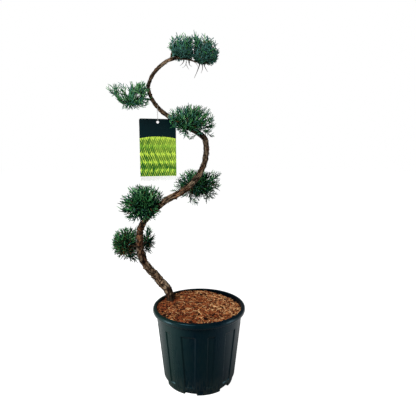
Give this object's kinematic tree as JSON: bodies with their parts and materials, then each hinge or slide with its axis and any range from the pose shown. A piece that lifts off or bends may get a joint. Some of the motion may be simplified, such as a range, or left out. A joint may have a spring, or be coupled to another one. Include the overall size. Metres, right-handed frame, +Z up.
{
  "type": "potted spiral topiary juniper",
  "caption": "Juniper trained as a spiral: one wound stem with clipped tufts of needles, growing in a mulched nursery pot, with a blank picture tag hung from the stem",
  "frame": {"origin": "centre of the pot's flat underside, on the surface that it stands on", "axes": "+Z up, +X to the right and +Y to the back in the reference view; the stem leans out of the pot to the left (-X)"},
  "size_m": [0.4511, 0.3096, 1.1093],
  "materials": {
    "pot_plastic": "dark blue-green injection moulded plastic with a low sheen",
    "bark_mulch": "loose reddish-brown bark and coir chips over a filled root ball",
    "bark": "stringy grey-brown bark with reddish patches",
    "foliage": "dark green scale-like needles in fine sprays",
    "tag_card": "printed plastic card with a plain dark head and a green blade pattern",
    "thread": "thin pale thread"
  },
  "bodies": {
    "root": {"pot": "pot_plastic", "mulch": "bark_mulch", "trunk_foot_run": "bark", "trunk_left_bend": "bark", "trunk_front_run": "bark", "trunk_right_climb": "bark", "trunk_right_bend": "bark", "trunk_back_run": "bark", "trunk_upper_bend": "bark", "trunk_top_run": "bark", "bough_top_left": "bark", "bough_top_right": "bark", "bough_upper_left": "bark", "bough_upper_right": "bark", "bough_middle_right": "bark", "bough_middle_left": "bark", "bough_lower_left_outer": "bark", "bough_lower_left_inner": "bark", "foliage_top_left": "foliage", "foliage_top_right": "foliage", "foliage_upper_left": "foliage", "foliage_upper_right": "foliage", "foliage_middle_right": "foliage", "foliage_middle_left": "foliage", "foliage_lower_left_outer": "foliage", "foliage_lower_left_inner": "foliage", "label_card": "tag_card", "label_thread": "thread"}
  },
  "joints": []
}
